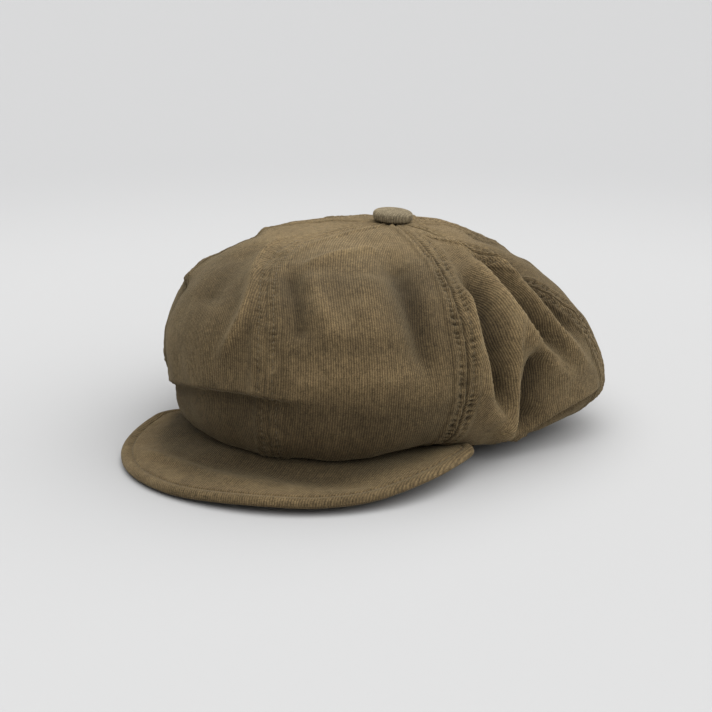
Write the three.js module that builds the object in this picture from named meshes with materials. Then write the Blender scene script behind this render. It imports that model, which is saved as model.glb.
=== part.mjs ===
// A soft newsboy cap lying on a flat surface: eight crown panels gathered under a covered button, a
// lining, a narrow headband with its stiffener and sweatband, and a short stiff visor.
// Millimetres, +Z up, the visor points to -Y and the wearer's left is +X. Shapes are worked out about
// the middle of the head opening, and the cap is then moved so that its origin lies at the bottom, under
// the middle of its outer box.
import * as THREE from "three";

const { abs, cos, exp, max, min, sign, sin, sqrt, PI } = Math;

// ---- Driving dimensions ----

// Headband: outer half widths of the head oval (a 58 cm cap), its top edge, and how far its front
// stretch is lifted where the visor is sewn in under it.
const BAND = { x: 86, y: 104, top: 36, frontLift: 9, liftFrom: 35, liftTo: 75 };
const GAP = 0.3; // clearance between neighbouring pieces
const LAP = 0.8; // the crown's sewn edge stands this far out from the headband
const CROWN_CLOTH = 1.5; // corduroy with its seam allowances
const BAND_CLOTH = 1.4;
const BUCKRAM = 0.8;
const SWEATBAND = 1.0;
const LINING = 0.8;
const LINING_DROP = 4.5; // the lining hangs this far inside the crown
const SEAM_MARGIN = 0.2; // from the middle of a crown seam to the cloth on each side of it

// The point where the eight seams meet, under the button.
const APEX = { x: 15, y: 33, z: 121 };

// The crown lies slumped towards the wearer's rear left. Its outline is set at sixteen stations: every
// whole one is a seam, counted from the front seam towards the wearer's left, and the others are panel
// middles. facing = direction of the bulge in degrees from the front, reach and height = how far out and
// how high the bulge stands, underReach and underHeight = its lowest point, fullness = roundness of the
// shoulder (2 is an ellipse), bow = how far the seam bows sideways between the button and the bulge.
const STATION_FIELDS = ["facing", "reach", "height", "underReach", "underHeight", "fullness", "bow"];
const STATIONS = [
  [5, 124, 60, 107, 20, 2.8, -27], // front seam
  [32, 126, 56, 108, 20, 2.8, -10],
  [58, 121, 52, 104, 24, 2.6, 0], // front left seam
  [87, 125, 42, 106, 12, 2.3, -12],
  [112, 154, 34, 130, 17, 1.9, -34], // left seam, at the slumped corner
  [131, 150, 38, 122, 12, 2.0, -24],
  [152, 144, 44, 120, 8, 2.0, -10], // rear left seam
  [168, 142, 46, 118, 8, 2.1, 0],
  [185, 140, 48, 118, 8, 2.1, 0], // rear seam
  [205, 136, 50, 114, 8, 2.1, 0],
  [225, 128, 52, 110, 8, 2.2, -5], // rear right seam
  [247, 117, 55, 106, 8, 2.2, -10],
  [270, 110, 58, 101, 10, 2.2, -18], // right seam
  [290, 109, 62, 99, 16, 2.2, -26],
  [311, 112, 64, 100, 22, 2.3, -32], // front right seam
  [337, 118, 62, 101, 20, 2.6, -30],
];
const PANEL_NAMES = [
  "front_left",
  "side_left_front",
  "side_left_rear",
  "rear_left",
  "rear_right",
  "side_right_rear",
  "side_right_front",
  "front_right",
];

// Visor: a board between two covers, with a rolled edge. Its outline is a superellipse in front of the
// horns and a flatter one behind them.
const VISOR = {
  halfWidth: 98,
  tip: -156.5, // front of the board, before the rolled edge
  depth: 99.5, // from the tip back to the widest place
  hornDepth: 22, // the outline's half depth behind the widest place
  hornTurn: 125, // degrees of the outline from the middle to a horn's end
  roundness: 2.15,
  board: 2.2,
  cover: 1.3,
  innerHeight: 11, // middle of the board above the surface, along the headband
  bandGap: 1.5, // clearance to the headband, for the visor's bending
  roll: 2.9, // radius of the rolled edge
  rollGap: 0.55, // between the board's outline and the rolled edge
};
// Height of the board's outline above the surface: the tip lies on the surface and both sides rise, the
// left one more, with a shallow wave between and the left horn's end tucked down.
const OUTLINE = {
  low: 3.6,
  rightRise: 3.9,
  leftRise: 10,
  leftTuck: 3,
  wave: 3,
  waveAt: 0.1, // share of the way from the middle to the left horn
  waveHalf: 0.18,
};

// Covered button: a cloth over a domed shell, closed by a back plate.
const BUTTON = {
  radius: 12,
  thickness: 6,
  standOff: 1.2, // its back above the gathered seams
  tilt: 4, // degrees
  cloth: 1.3,
  metal: 0.8,
  shoulder: 2.5, // height at which its side turns into the dome
  shellTop: 1, // thickness of the shell in the middle
  shellRim: 2, // and the width of its rim
  hem: 0.6, // bevel of the cloth's lower edge
  hemHeight: 1,
};
const BUTTON_HOLE = 3.5; // radius of the open ring left by the eight crown panels
const LINING_HOLE = 6; // and by the lining's
const TACK = { radius: 1.6, inside: 1.8 }; // it ends this far inside the crown's cloth
const WASHER_RADIUS = 8;

// Blank label on the sweatband, which curves away behind the flat label's ends by "flare".
const LABEL = { width: 34, height: 20, thickness: 0.5, flare: 2.9 };

// Mesh steps.
const PANEL_STEPS = { across: 6, down: 17 };
const LINING_STEPS = { across: 4, down: 10 };
const ROW_CROWDING = 1.15; // rows lie closer together towards the button
const OVAL_STEPS = 64;
const VISOR_STEPS = { along: 36, across: 6 };
const ROLL_STEPS = { along: 56, round: 5 };
const TURN_STEPS = 28;

// ---- Materials ----

const cloth = (color, roughness = 0.95) => new THREE.MeshStandardMaterial({ color, roughness, metalness: 0 });
const metal = (color) => new THREE.MeshStandardMaterial({ color, roughness: 0.4, metalness: 0.9 });
const CORDUROY = () => cloth(0x5d4f38);
const COTTON = () => cloth(0x3b342b);
const TAPE = () => cloth(0x2c2822, 0.85);
const STIFFENER = () => cloth(0xcfc8b6, 0.8);

const cap = new THREE.Group();

function addPiece(name, geometry, material, parent = cap) {
  const mesh = new THREE.Mesh(geometry, material);
  mesh.name = name;
  parent.add(mesh);
  return mesh;
}

// ---- General shapes ----

const radians = (degrees) => (degrees * PI) / 180;
const mix = (a, b, t) => a + (b - a) * t;
const smooth = (t) => {
  const s = min(1, max(0, t));
  return s * s * (3 - 2 * s);
};

// Catmull-Rom curve through b and c, a share f of the way between them.
const curve = (a, b, c, d, f) =>
  0.5 * (2 * b + (c - a) * f + (2 * a - 5 * b + 4 * c - d) * f ** 2 + (3 * b - a - 3 * c + d) * f ** 3);

// Value at u along a closed row of evenly spaced ones. Each lap adds "lap".
function around(values, u, lap = 0) {
  const n = values.length;
  const i = Math.floor(u);
  const value = (k) => values[((k % n) + n) % n] + lap * Math.floor(k / n);
  return curve(value(i - 1), value(i), value(i + 1), value(i + 2), u - i);
}

// Unit direction in plan at an angle from the front (-Y), counted towards the wearer's left (+X).
const facing = (degrees) => new THREE.Vector2(sin(radians(degrees)), -cos(radians(degrees)));

// Point of the head oval, moved in by "inset", in the direction "degrees".
function ovalPoint(degrees, inset = 0) {
  const d = facing(degrees);
  return d.multiplyScalar(1 / sqrt((d.x / (BAND.x - inset)) ** 2 + (d.y / (BAND.y - inset)) ** 2));
}

// Solid through a row of closed sections. Each section lists one side of the cloth and then the other
// side backwards, so the two open ends are closed by strips.
function loft(sections, closed) {
  const m = sections[0].length;
  const n = sections.length;
  const positions = sections.flat().flatMap((p) => [p.x, p.y, p.z]);
  const index = [];
  // A quad is split so that both sides of the cloth are cut along the same diagonal.
  const quad = (a, b, c, d, turned = false) => {
    if (turned) index.push(b, c, d, b, d, a);
    else index.push(a, b, c, a, c, d);
  };
  for (let i = 0; i < (closed ? n : n - 1); i++)
    for (let j = 0; j < m; j++) {
      const [here, next, j1] = [i * m, ((i + 1) % n) * m, (j + 1) % m];
      quad(here + j, here + j1, next + j1, next + j, j >= m / 2);
    }
  if (!closed)
    for (let j = 0; j < m / 2 - 1; j++) {
      const far = (n - 1) * m;
      quad(j + 1, j, m - 1 - j, m - 2 - j);
      quad(far + j, far + j + 1, far + m - 2 - j, far + m - 1 - j);
    }
  const geometry = new THREE.BufferGeometry();
  geometry.setAttribute("position", new THREE.Float32BufferAttribute(positions, 3));
  geometry.setIndex(index);
  geometry.computeVertexNormals();
  return geometry;
}

// Outward normal of a surface(u, v) whose u runs towards the wearer's left and whose v runs down.
function normalOf(surface, u, v) {
  const step = 1e-3;
  const du = surface(u + step, v).sub(surface(u - step, v));
  const dv = surface(u, v + step).sub(surface(u, v - step));
  return dv.cross(du).normalize();
}

// ---- Crown ----

const stationColumns = STATION_FIELDS.map((_, k) => STATIONS.map((row) => row[k]));

// The seven outline values at seam position u (0 to 8).
function outlineAt(u) {
  return Object.fromEntries(
    STATION_FIELDS.map((field, k) => [field, around(stationColumns[k], 2 * u, field === "facing" ? 360 : 0)]),
  );
}

// Outer surface of the crown. u counts seams; v is 0 under the button, 1 at the bulge, 1.5 at the lowest
// point and 2 where the crown is sewn to the top of the headband.
function crownPoint(u, v) {
  const o = outlineAt(u);
  const bulge = facing(o.facing).multiplyScalar(o.reach);
  if (v <= 1) {
    const a = (v * PI) / 2;
    const out = sin(a) ** (2 / o.fullness);
    const up = max(cos(a), 0) ** (2 / o.fullness);
    const side = o.bow * sin(PI * out);
    return new THREE.Vector3(
      mix(APEX.x, bulge.x, out) + side * cos(radians(o.facing)),
      mix(APEX.y, bulge.y, out) + side * sin(radians(o.facing)),
      mix(o.height, APEX.z, up),
    );
  }
  const under = facing(mix(o.facing, 45 * u, 0.3)).multiplyScalar(o.underReach);
  if (v <= 1.5) {
    const a = (v - 1) * PI;
    const p = under.clone().lerp(bulge, cos(a));
    return new THREE.Vector3(p.x, p.y, mix(o.height, o.underHeight, sin(a)));
  }
  const a = (v - 1.5) * PI;
  const p = ovalPoint(45 * u, -LAP).lerp(under, 1 - sin(a));
  return new THREE.Vector3(p.x, p.y, mix(o.underHeight, BAND.top + GAP, 1 - cos(a)));
}

// The v at which the crown's cloth first reaches a given distance from the apex, at seam position u.
function startAt(u, radius) {
  let [low, high] = [0, 0.5];
  for (let i = 0; i < 30; i++) {
    const v = (low + high) / 2;
    const p = crownPoint(u, v);
    if (Math.hypot(p.x - APEX.x, p.y - APEX.y) < radius) low = v;
    else high = v;
  }
  return high;
}

// One panel of a skin over eight panels: a closed sheet of cloth between two seams, with half the gap
// left at each. surface(u, v) is its outer side and thickness goes inwards.
function panelSheet(surface, k, thickness, steps, firstRow, lastRow) {
  const rows = Array.from({ length: steps.down + 1 }, (_, j) => j / steps.down);
  const sections = [];
  for (let i = 0; i <= steps.across; i++) {
    const outer = [];
    const inner = [];
    for (const row of rows) {
      const v = mix(firstRow(k + i / steps.across), lastRow, row ** ROW_CROWDING);
      const width = surface(k, v).distanceTo(surface(k + 1, v));
      const margin = SEAM_MARGIN / max(width, 1);
      const u = k + mix(margin, 1 - margin, i / steps.across);
      const p = surface(u, v);
      outer.push(p);
      inner.push(p.clone().addScaledVector(normalOf(surface, u, v), -thickness));
    }
    sections.push([...outer, ...inner.reverse()]);
  }
  return loft(sections, false);
}

const SEWN_EDGE = 1.998; // just short of 2, so that the edge's normal is still taken on the crown

// Outer surface of the lining: it follows the dome inside the crown, then cuts straight back to the top
// of the sweatband and leaves the slumped edge of the crown empty. v is 0 to 1 over the dome and 1 to 2
// back to the band.
const LINING_TURN = 0.93; // the v at which the lining leaves the dome
const LINING_INSET = 3;
const LINING_EDGE_HEIGHT = BAND.top + 2.6;

function liningDome(u, v) {
  return crownPoint(u, v).addScaledVector(normalOf(crownPoint, u, v), -LINING_DROP);
}

function liningPoint(u, v) {
  if (v <= 1) return liningDome(u, v * LINING_TURN);
  const from = liningDome(u, LINING_TURN);
  const edge = ovalPoint(45 * u, LINING_INSET);
  const to = new THREE.Vector3(edge.x, edge.y, LINING_EDGE_HEIGHT);
  const knee = new THREE.Vector3(mix(from.x, to.x, 0.1), mix(from.y, to.y, 0.1), mix(from.z, to.z, 0.6));
  return new THREE.QuadraticBezierCurve3(from, knee, to).getPoint(v - 1);
}

PANEL_NAMES.forEach((place, k) => {
  const crownStart = (u) => startAt(u, BUTTON_HOLE);
  const crownSheet = panelSheet(crownPoint, k, CROWN_CLOTH, PANEL_STEPS, crownStart, SEWN_EDGE);
  addPiece("crown_" + place, crownSheet, CORDUROY());
  const liningStart = (u) => startAt(u, LINING_HOLE);
  const liningSheet = panelSheet(liningPoint, k, LINING, LINING_STEPS, liningStart, 2);
  addPiece("lining_" + place, liningSheet, COTTON());
});

// ---- Headband ----

// Lower edge of the headband: flat on the surface at the sides and back, lifted over the visor in front.
const bandFoot = (y) => BAND.frontLift * smooth((-y - BAND.liftFrom) / (BAND.liftTo - BAND.liftFrom));

// Ring round the head oval, from "inset" inwards by "thickness", between two heights above the edge.
function bandRing(inset, thickness, foot, top) {
  const sections = [];
  for (let i = 0; i < OVAL_STEPS; i++) {
    const degrees = (360 * (i + 0.5)) / OVAL_STEPS;
    const outer = ovalPoint(degrees, inset);
    const inner = ovalPoint(degrees, inset + thickness);
    const low = bandFoot(outer.y) + foot;
    sections.push([
      new THREE.Vector3(outer.x, outer.y, top),
      new THREE.Vector3(outer.x, outer.y, low),
      new THREE.Vector3(inner.x, inner.y, low),
      new THREE.Vector3(inner.x, inner.y, top),
    ]);
  }
  return loft(sections, true);
}

const buckramInset = BAND_CLOTH + GAP;
const sweatbandInset = buckramInset + BUCKRAM + GAP;
addPiece("headband_outer", bandRing(0, BAND_CLOTH, 0, BAND.top), CORDUROY());
addPiece("headband_stiffener", bandRing(buckramInset, BUCKRAM, 2, BAND.top - 2), STIFFENER());
addPiece("sweatband", bandRing(sweatbandInset, SWEATBAND, 1, BAND.top + 2), TAPE());

// Blank woven label sewn flat on the sweatband at the back.
const labelGeometry = new THREE.BoxGeometry(LABEL.width, LABEL.thickness, LABEL.height);
const label = addPiece("size_label", labelGeometry, cloth(0xb8ad95, 0.8));
label.position.set(0, BAND.y - sweatbandInset - SWEATBAND - LABEL.flare, BAND.top / 2 + 1);

// ---- Visor ----

// Outline of the board; q runs from -1 at the right horn to 1 at the left one.
function visorRim(q) {
  const a = radians(q * VISOR.hornTurn);
  const bend = (value) => sign(value) * abs(value) ** (2 / VISOR.roundness);
  const depth = cos(a) > 0 ? VISOR.depth : VISOR.hornDepth;
  return new THREE.Vector2(VISOR.halfWidth * bend(sin(a)), VISOR.tip + VISOR.depth - depth * bend(cos(a)));
}

// Height of the board's middle surface at its outline, from the right horn (-1) to the left one (1).
function rimHeight(q) {
  const right = OUTLINE.rightRise * smooth((-0.5 - q) / 0.5);
  const left = OUTLINE.leftRise * smooth((q - 0.1) / 0.6) - OUTLINE.leftTuck * smooth((q - 0.8) / 0.2);
  const wave = OUTLINE.wave * exp(-(((q - OUTLINE.waveAt) / OUTLINE.waveHalf) ** 2));
  return OUTLINE.low + right + left + wave;
}

// The outline moved outwards by "outset".
function visorRimOutside(q, outset) {
  const step = 1e-3;
  const along = visorRim(q + step).sub(visorRim(q - step)).normalize();
  return visorRim(q).add(new THREE.Vector2(along.y, -along.x).multiplyScalar(outset));
}

// Inner edge of the visor, round the headband between the horns.
const hornEnd = visorRim(1);
const HORN_FACING = (Math.atan2(hornEnd.x, -hornEnd.y) * 180) / PI;
const visorInner = (q) => ovalPoint(HORN_FACING * q, -VISOR.bandGap);

// One layer of the visor between two heights over the board's middle surface.
function visorLayer(low, high) {
  const sections = [];
  for (let i = 0; i <= VISOR_STEPS.along; i++) {
    const q = -1 + (2 * i) / VISOR_STEPS.along;
    const [inner, rim] = [visorInner(q), visorRim(q)];
    const side = (lift) =>
      Array.from({ length: VISOR_STEPS.across + 1 }, (_, j) => {
        const out = j / VISOR_STEPS.across;
        const p = inner.clone().lerp(rim, out);
        return new THREE.Vector3(p.x, p.y, mix(VISOR.innerHeight, rimHeight(q), out) + lift);
      });
    sections.push([...side(high), ...side(low).reverse()]);
  }
  return loft(sections, false);
}

const boardTop = VISOR.board / 2;
const coverBottom = boardTop + GAP;
addPiece("visor_top_cover", visorLayer(coverBottom, coverBottom + VISOR.cover), CORDUROY());
addPiece("visor_board", visorLayer(-boardTop, boardTop), cloth(0xd9d4c6, 0.6));
addPiece("visor_under_cover", visorLayer(-coverBottom - VISOR.cover, -coverBottom), CORDUROY());

// Rolled edge: a bead along the outline.
class RimCurve extends THREE.Curve {
  getPoint(t, target = new THREE.Vector3()) {
    const q = mix(-1, 1, t);
    const p = visorRimOutside(q, VISOR.roll + VISOR.rollGap);
    return target.set(p.x, p.y, rimHeight(q));
  }
}
const beadSection = new THREE.Shape().absarc(0, 0, VISOR.roll, 0, 2 * PI);
const beadGeometry = new THREE.ExtrudeGeometry(beadSection, {
  steps: ROLL_STEPS.along,
  curveSegments: ROLL_STEPS.round,
  extrudePath: new RimCurve(),
});
addPiece("visor_edge_roll", beadGeometry, CORDUROY());

// ---- Button ----

const button = new THREE.Group();
button.position.set(APEX.x, APEX.y, APEX.z + BUTTON.standOff);
button.rotation.y = radians(BUTTON.tilt);
cap.add(button);

// Solid of revolution about the button's axis from [radius, height] pairs; arcs are sampled by domeArc.
function turned(pairs) {
  const profile = pairs.map(([r, z]) => new THREE.Vector2(r, z));
  return new THREE.LatheGeometry(profile, TURN_STEPS).rotateX(PI / 2);
}

// Quarter-ellipse from the rim to the axis, for domed tops.
const domeArc = (radius, base, height, steps = 5) =>
  Array.from({ length: steps + 1 }, (_, i) => {
    const a = ((PI / 2) * i) / steps;
    return [i === steps ? 0 : radius * cos(a), base + height * sin(a)];
  });

const { radius: R, thickness: T } = BUTTON;
const shellRadius = R - BUTTON.cloth - GAP;
const shellTop = T - BUTTON.cloth - GAP;
const shellBase = BUTTON.metal + GAP;
const plateRadius = shellRadius - GAP;
const backPlate = [
  [0, 0],
  [plateRadius, 0],
  [plateRadius, BUTTON.metal],
  [0, BUTTON.metal],
];
const shell = [
  [0, shellTop - BUTTON.shellTop],
  [shellRadius - BUTTON.shellRim, shellBase],
  [shellRadius, shellBase],
  ...domeArc(shellRadius, BUTTON.shoulder, shellTop - BUTTON.shoulder),
];
const buttonCover = [
  ...domeArc(shellRadius + GAP, BUTTON.shoulder, shellTop + GAP - BUTTON.shoulder).reverse(),
  [shellRadius + GAP, 0],
  [R - BUTTON.hem, 0],
  [R, BUTTON.hemHeight],
  ...domeArc(R, BUTTON.shoulder, T - BUTTON.shoulder),
];
addPiece("button_back_plate", turned(backPlate), metal(0x8a8a86), button);
addPiece("button_shell", turned(shell), metal(0x8a8a86), button);
addPiece("button_cover", turned(buttonCover), CORDUROY(), button);

// Tack through the gathered seams, and the washer that holds it inside the crown.
const tackLength = BUTTON.standOff + CROWN_CLOTH + TACK.inside;
const tackProfile = [
  [0, 0],
  [TACK.radius, 0],
  [TACK.radius, tackLength - GAP],
  [0, tackLength - GAP],
];
const tack = addPiece("button_tack", turned(tackProfile), metal(0x9a9a96), button);
tack.position.z = -tackLength;

const washerHole = TACK.radius + GAP;
const washerProfile = [
  [washerHole, 0],
  [WASHER_RADIUS, 0],
  [WASHER_RADIUS, BUTTON.metal],
  [washerHole, BUTTON.metal],
  [washerHole, 0],
];
const washer = addPiece("button_washer", turned(washerProfile), metal(0x9a9a96), button);
washer.position.z = -tackLength;

// ---- Origin: bottom of the cap, under the middle of its outer box ----

cap.updateMatrixWorld(true);
const box = new THREE.Box3().setFromObject(cap);
const middle = box.getCenter(new THREE.Vector3());
cap.position.set(-middle.x, -middle.y, -box.min.z);

export default cap;
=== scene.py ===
import math

import bpy
import numpy as np
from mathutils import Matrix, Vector, noise


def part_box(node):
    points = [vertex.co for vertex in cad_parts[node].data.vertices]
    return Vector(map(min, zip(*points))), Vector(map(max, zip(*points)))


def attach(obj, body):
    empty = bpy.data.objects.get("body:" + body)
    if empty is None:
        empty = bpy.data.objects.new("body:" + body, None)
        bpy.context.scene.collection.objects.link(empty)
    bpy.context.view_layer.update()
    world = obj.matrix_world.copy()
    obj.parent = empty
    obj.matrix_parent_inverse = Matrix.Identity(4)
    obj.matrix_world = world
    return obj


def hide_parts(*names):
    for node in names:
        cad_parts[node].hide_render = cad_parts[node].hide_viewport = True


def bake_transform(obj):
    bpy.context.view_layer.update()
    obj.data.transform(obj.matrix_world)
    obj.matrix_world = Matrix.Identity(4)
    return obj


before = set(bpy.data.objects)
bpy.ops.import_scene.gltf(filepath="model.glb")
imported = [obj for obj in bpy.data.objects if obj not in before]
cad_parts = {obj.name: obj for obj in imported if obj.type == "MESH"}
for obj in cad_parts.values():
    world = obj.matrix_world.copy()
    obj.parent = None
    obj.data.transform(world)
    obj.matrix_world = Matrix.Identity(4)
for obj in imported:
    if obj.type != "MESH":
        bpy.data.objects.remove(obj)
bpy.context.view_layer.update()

MM = 0.001
band_low, band_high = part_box("headband_outer")
HEAD = np.array([(band_low.x + band_high.x) / 2, (band_low.y + band_high.y) / 2, 0.0])

# ---- Sizes, as in the frame except for some of the stations ----
BAND_HALF = np.array([band_high.x - band_low.x, band_high.y - band_low.y]) / 2 / MM
BAND_TOP = band_high.z / MM
BAND_LIFT, BAND_LIFT_FROM, BAND_LIFT_TO = 9.0, 35.0, 75.0
APEX = np.array([15.0, 33.0, 121.0])
LAP = 0.8
PANELS = [
    "front_left", "side_left_front", "side_left_rear", "rear_left",
    "rear_right", "side_right_rear", "side_right_front", "front_right",
]
# facing, reach, height, under reach, under height, fullness, bow. They are the frame's, except from facing
# 290 round the front to 112: there the underside is 1 to 6 mm lower and up to 3 mm nearer or farther, and
# the bulge is 1 mm lower at 87 and 5 mm lower at 112, so that the cloth sinks on to the visor's root.
STATIONS = np.array([
    [5, 124, 60, 107, 14, 2.8, -27],
    [32, 126, 56, 108, 15.5, 2.8, -10],
    [58, 121, 52, 104, 19, 2.6, 0],
    [87, 125, 41, 107, 8, 2.3, -12],
    [112, 154, 29, 127, 13, 1.9, -34],
    [131, 150, 38, 122, 12, 2.0, -24],
    [152, 144, 44, 120, 8, 2.0, -10],
    [168, 142, 46, 118, 8, 2.1, 0],
    [185, 140, 48, 118, 8, 2.1, 0],
    [205, 136, 50, 114, 8, 2.1, 0],
    [225, 128, 52, 110, 8, 2.2, -5],
    [247, 117, 55, 106, 8, 2.2, -10],
    [270, 110, 58, 101, 10, 2.2, -18],
    [290, 109, 62, 99, 15, 2.2, -26],
    [311, 112, 64, 97, 17, 2.3, -32],
    [337, 118, 62, 101, 14.5, 2.6, -30],
], float)

CLOTH = 1.5
LINING_DROP = 4.5
WALE = 1.36  # corduroy rib spacing

# Camera: where the cap is seen from, and how large.
VIEW_TURN, VIEW_RISE, VIEW_AWAY = 25.0, 16.0, 1150.0
VIEW_AT = np.array([6.0, 0.0, 44.0])
VIEW_LENS = 96.5


def place(points):
    """Millimetres about the head opening to metres in the frame."""
    return np.asarray(points) * MM + HEAD


def smooth(t):
    t = np.clip(t, 0, 1)
    return t * t * (3 - 2 * t)


def mix(a, b, t):
    return a + (b - a) * t


# ---- Crown shape ----

def around(column, u, lap=0.0):
    """Catmull-Rom value at u along a closed row of evenly spaced ones; each lap adds lap."""
    n = len(column)
    i = np.floor(u).astype(int)
    f = u - i
    a, b, c, d = [column[(i + k) % n] + lap * ((i + k) // n) for k in (-1, 0, 1, 2)]
    return 0.5 * (2 * b + (c - a) * f + (2 * a - 5 * b + 4 * c - d) * f**2 + (3 * b - a - 3 * c + d) * f**3)


def plan(degrees):
    a = np.radians(degrees)
    return np.stack([np.sin(a), -np.cos(a)], -1)


def oval(degrees, inset=0.0):
    d = plan(degrees)
    half = BAND_HALF - np.asarray(inset, float)[..., None] if np.ndim(inset) else BAND_HALF - inset
    return d / np.linalg.norm(d / half, axis=-1)[..., None]


def crown_base(u, v):
    """The crown's smooth outer surface, without folds and seams, worked out as the frame's is."""
    u, v = np.broadcast_arrays(np.asarray(u, float), np.asarray(v, float))
    face, reach, height, under_reach, under_height, full, bow = [
        around(STATIONS[:, k], 2 * u, 360.0 if k == 0 else 0.0) for k in range(7)
    ]
    bulge = plan(face) * reach[..., None]
    a = np.clip(v, 0, 1) * math.pi / 2
    out = np.sin(a) ** (2 / full)
    up = np.maximum(np.cos(a), 0) ** (2 / full)
    side = bow * np.sin(math.pi * out)
    turn = np.radians(face)
    dome = np.stack([
        mix(APEX[0], bulge[..., 0], out) + side * np.cos(turn),
        mix(APEX[1], bulge[..., 1], out) + side * np.sin(turn),
        mix(height, APEX[2], up),
    ], -1)
    under = plan(mix(face, 45 * u, 0.3)) * under_reach[..., None]
    a = np.clip(v - 1, 0, 0.5) * math.pi
    roll = np.concatenate([
        mix(under, bulge, np.cos(a)[..., None]),
        mix(height, under_height, np.sin(a))[..., None],
    ], -1)
    a = np.clip(v - 1.5, 0, 0.5) * math.pi
    tuck = np.concatenate([
        mix(oval(45 * u, -LAP), under, (1 - np.sin(a))[..., None]),
        mix(under_height, BAND_TOP + 0.3, 1 - np.cos(a))[..., None],
    ], -1)
    return np.where((v <= 1)[..., None], dome, np.where((v <= 1.5)[..., None], roll, tuck))


def normals(surface, u, v, step=1e-3):
    du = surface(u + step, v) - surface(u - step, v)
    dv = surface(u, v + step) - surface(u, np.maximum(v - step, 1e-4))
    n = np.cross(dv, du)
    return n / np.maximum(np.linalg.norm(n, axis=-1, keepdims=True), 1e-9)


# Folds: (kind, start, end, bow, height, half width on the left, half width on the right). Start and end
# are (u, v); bow is how far the middle of the line swings from the straight one, also as (u, v). A ridge
# stands out along its line; a step stands out on the side above the line and sinks below it.
FOLDS = [
    # the two long folds over the wearer's left side, each with its valley behind
    ("ridge", (2.0, 0.15), (1.8, 1.0), (-0.5, 0), 9.0, 4.5, 8),
    ("ridge", (1.9, 0.2), (1.75, 0.9), (-0.3, 0), -7.5, 8, 6.5),
    ("ridge", (2.3, 0.2), (1.9, 0.95), (-0.35, 0), 6.0, 4, 7),
    ("ridge", (2.35, 0.25), (1.9, 0.8), (-0.25, 0), -6.0, 8, 5.5),
    # two upright folds behind the front side seam, and the flap at their foot
    ("ridge", (1.15, 0.45), (1.35, 1.3), (-0.15, 0), 5.5, 3.5, 9),
    ("ridge", (1.25, 0.4), (1.25, 1.15), (-0.05, 0), -11.0, 8, 6),
    ("ridge", (1.4, 0.65), (1.4, 1.4), (-0.1, 0), 8.0, 3.5, 6),
    ("ridge", (1.55, 0.8), (1.5, 1.3), (-0.1, 0), -11.0, 10, 5),
    ("step", (1.5, 1.45), (2.0, 1.0), (-0.15, 0), 5.0, 12, 7),
    # the front: a crest on the right, the crease over the visor, and soft upright dents
    ("ridge", (-0.3, 0.1), (-0.3, 1.0), (0.2, 0), 5.0, 4, 4.5),
    ("ridge", (-0.35, 0.2), (-0.45, 0.75), (0.05, 0), -2.4, 12, 10),
    ("step", (-0.95, 1.2), (0.25, 1.05), (0, -0.05), 4.0, 16, 9),
    ("ridge", (0, 1.05), (1, 1.05), (0, -0.1), 3.4, 17, 12),
    ("ridge", (0.1, 0.35), (0.15, 0.85), (0.025, 0), -4.2, 5, 5),
    ("ridge", (0.2, 0.35), (0.35, 0.85), (0, 0), 3.0, 7, 6),
    ("ridge", (0.65, 0.15), (0.8, 1.05), (0, 0), -6.8, 8, 9),
    ("ridge", (0.5, 0.35), (0.5, 0.85), (0, 0), 2.5, 13, 12),
    ("ridge", (0.15, 0.4), (0.6, 0.2), (0, -0.05), 3.4, 4.5, 5),
    # the sides and back, away from the front
    ("ridge", (2.9, 0.2), (2.4, 0.8), (-0.05, 0), -7.0, 20, 20),
    ("ridge", (2.6, 0.35), (2.7, 1.1), (0.1, 0), 3.0, 8, 7),
    ("ridge", (3.35, 0.3), (3.5, 1.05), (0, 0), -6.0, 10, 9),
    ("ridge", (3.6, 0.5), (3.55, 1.0), (0.05, 0), 4.0, 7, 7),
    ("ridge", (4.3, 0.35), (4.45, 1.1), (0, 0), -5.0, 10, 10),
    ("ridge", (4.7, 0.3), (4.7, 0.9), (-0.1, 0), 3.4, 8, 7),
    ("ridge", (5.4, 0.3), (5.45, 0.85), (0.1, 0), -4.5, 10, 10),
    ("ridge", (5.75, 0.5), (5.7, 1.05), (-0.1, 0), 3.2, 7, 8),
    ("ridge", (6.35, 0.3), (6.55, 0.8), (0.05, 0), -4.0, 10, 9),
    ("ridge", (7.0, 0.65), (6.75, 1.05), (0, 0), -9.0, 15, 15),
    ("ridge", (7.0, 0.3), (6.7, 0.6), (0, 0), -4.5, 16, 16),
    ("ridge", (6.5, 1.2), (7.2, 1.25), (0, 0), -6.0, 12, 12),
    ("step", (2.1, 1.15), (4.6, 1.15), (0, 0), 3.0, 16, 7),
    ("step", (4.9, 1.2), (6.9, 1.15), (0, 0), 3.0, 16, 7),
]
FOLD_STEPS = 60
FOLD_REACH = 3.2  # half widths from its line at which a fold no longer moves the cloth
FOLD_ENDS = 0.22  # share of a fold's length over which it fades in and out
STEP_EDGE = 2.5  # how near its line a step turns from rising to sinking
STEP_SHADE_AND_WEAR = 0.4  # a step lightens its lip and darkens below it less than a ridge does: painted light and shade, with some wear


def bowed(start, end, bow, count):
    """Evenly counted points from start to end, swinging to the side by bow in the middle."""
    t = np.linspace(0, 1, count)[:, None]
    return mix(np.array(start), np.array(end), t) + np.array(bow) * 4 * t * (1 - t)


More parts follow.
